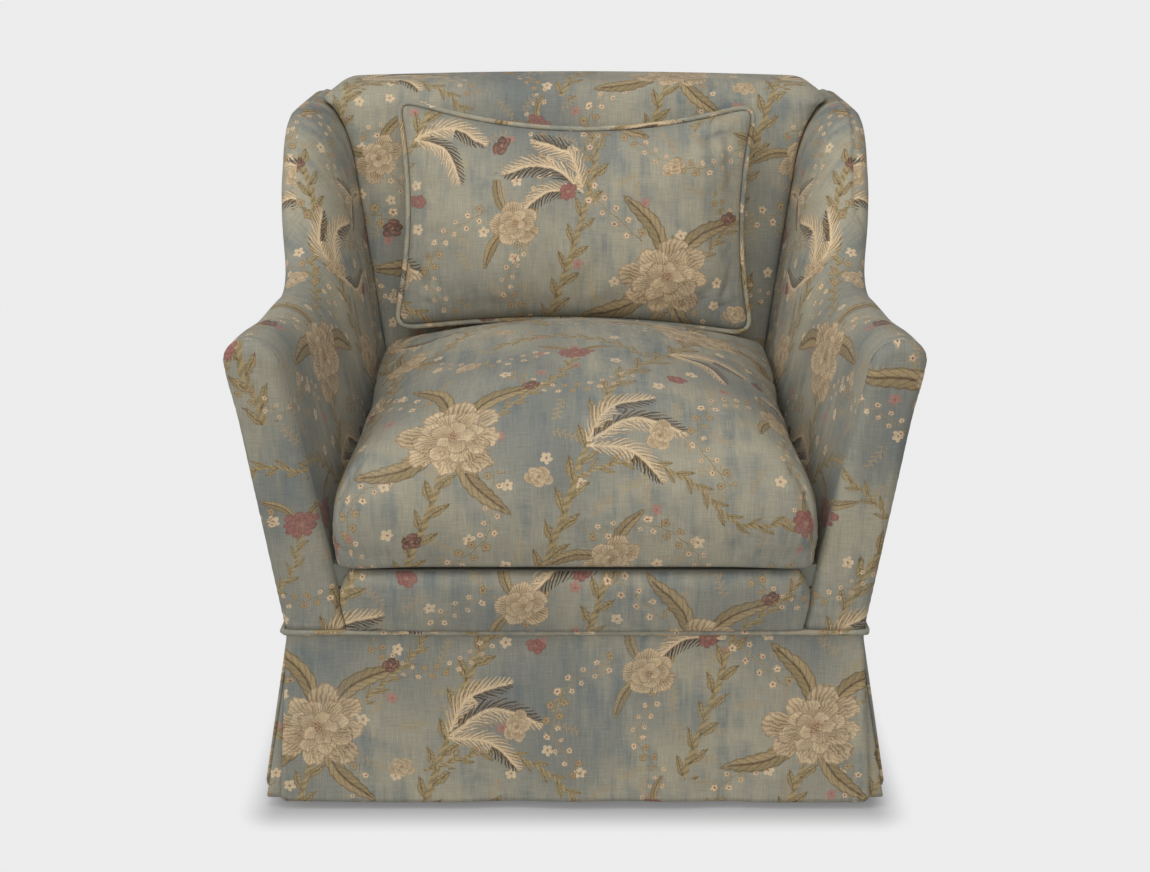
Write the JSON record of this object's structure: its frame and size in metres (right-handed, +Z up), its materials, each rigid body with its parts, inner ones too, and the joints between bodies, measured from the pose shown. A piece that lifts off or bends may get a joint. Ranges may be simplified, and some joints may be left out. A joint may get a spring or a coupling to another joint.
{
  "type": "skirted armchair",
  "caption": "Upholstered armchair with flared arms that sweep up into wings, a loose crowned seat cushion, a piped lumbar pillow and a plain floor-length skirt.",
  "frame": {"origin": "under the middle of the chair's outline, on the floor", "axes": "+X to the right for somebody who looks at the chair from the front, the chair faces -Y, +Z up"},
  "size_m": [0.8476, 0.8092, 0.842],
  "materials": {
    "printed_linen": "matt washed linen, duck-egg blue faded to beige green, with a vintage botanical print",
    "pleat_linen": "matt washed linen in shade, behind the skirt",
    "beech": "planed beech",
    "steel": "plain spring wire and pressed glides",
    "lining": "black bonded lining",
    "webbing": "woven jute webbing"
  },
  "bodies": {
    "root": {"arm_rail_left": "beech", "arm_rail_right": "beech", "arm_top_pad_left": "printed_linen", "arm_top_pad_right": "printed_linen", "back_side_board_left": "beech", "back_side_board_right": "beech", "back_strap_1": "webbing", "back_strap_2": "webbing", "back_strap_3": "webbing", "back_strap_4": "webbing", "back_stuffing_rail": "beech", "back_top_rail": "beech", "corner_block_front_left": "beech", "corner_block_front_right": "beech", "corner_block_rear_left": "beech", "corner_block_rear_right": "beech", "dust_cover": "lining", "foot_front_left": "beech", "foot_front_right": "beech", "foot_glide_front_left": "steel", "foot_glide_front_right": "steel", "foot_glide_rear_left": "steel", "foot_glide_rear_right": "steel", "foot_rear_left": "beech", "foot_rear_right": "beech", "front_arm_panel_left": "printed_linen", "front_arm_panel_right": "printed_linen", "front_border": "printed_linen", "front_post_left": "beech", "front_post_right": "beech", "front_rail": "beech", "inside_arm_left": "printed_linen", "inside_arm_right": "printed_linen", "inside_back": "printed_linen", "lumbar_pillow": "printed_linen", "outside_arm_left": "printed_linen", "outside_arm_right": "printed_linen", "outside_back": "printed_linen", "pillow_piping": "printed_linen", "pleat_front_left": "pleat_linen", "pleat_front_right": "pleat_linen", "pleat_rear_left": "pleat_linen", "pleat_rear_right": "pleat_linen", "rear_rail": "beech", "seat_cushion": "printed_linen", "seat_platform": "lining", "seat_spring_1": "steel", "seat_spring_2": "steel", "seat_spring_3": "steel", "seat_spring_4": "steel", "seat_spring_5": "steel", "side_rail_left": "beech", "side_rail_right": "beech", "skirt_front": "printed_linen", "skirt_left": "printed_linen", "skirt_rear": "printed_linen", "skirt_right": "printed_linen", "skirt_welt": "printed_linen", "wing_board_left": "beech", "wing_board_right": "beech"}
  },
  "joints": []
}
